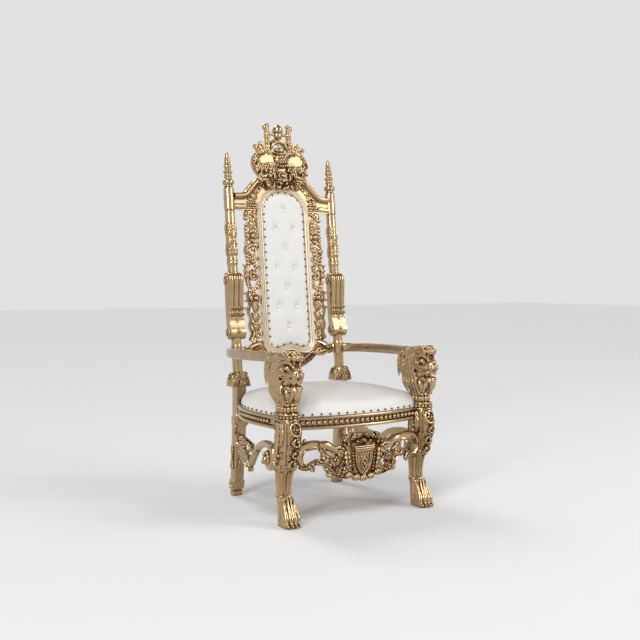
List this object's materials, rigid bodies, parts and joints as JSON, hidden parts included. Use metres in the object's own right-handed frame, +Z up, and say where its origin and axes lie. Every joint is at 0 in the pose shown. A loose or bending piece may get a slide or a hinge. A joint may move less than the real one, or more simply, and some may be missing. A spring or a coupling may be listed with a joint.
{
  "type": "throne",
  "caption": "High-backed carved and gilded throne with lion-headed front legs on paw feet, a crowned crest, a pierced back and white upholstery.",
  "frame": {"origin": "on the floor, under the middle of the throne's bounding box", "axes": "+Z up, -Y towards the front, where a sitter faces, and +X towards the right of someone who stands in front of it"},
  "size_m": [0.7926, 0.856, 1.8007],
  "materials": {
    "gilt_wood": "antique gold paint over carved wood, satin, with dark glaze in the hollows",
    "white_upholstery": "soft matt white artificial leather"
  },
  "bodies": {
    "root": {"crest_rail": "gilt_wood", "panel_moulding": "gilt_wood", "side_strip_right": "gilt_wood", "side_strip_left": "gilt_wood", "lower_back_rail": "gilt_wood", "back_pad": "white_upholstery", "rear_post_right": "gilt_wood", "rear_post_left": "gilt_wood", "front_leg_right": "gilt_wood", "front_leg_left": "gilt_wood", "arm_right": "gilt_wood", "arm_left": "gilt_wood", "side_rail_right": "gilt_wood", "side_rail_left": "gilt_wood", "side_apron_right": "gilt_wood", "side_apron_left": "gilt_wood", "front_rail": "gilt_wood", "rear_rail": "gilt_wood", "front_apron": "gilt_wood", "seat_cushion": "white_upholstery"}
  },
  "joints": []
}
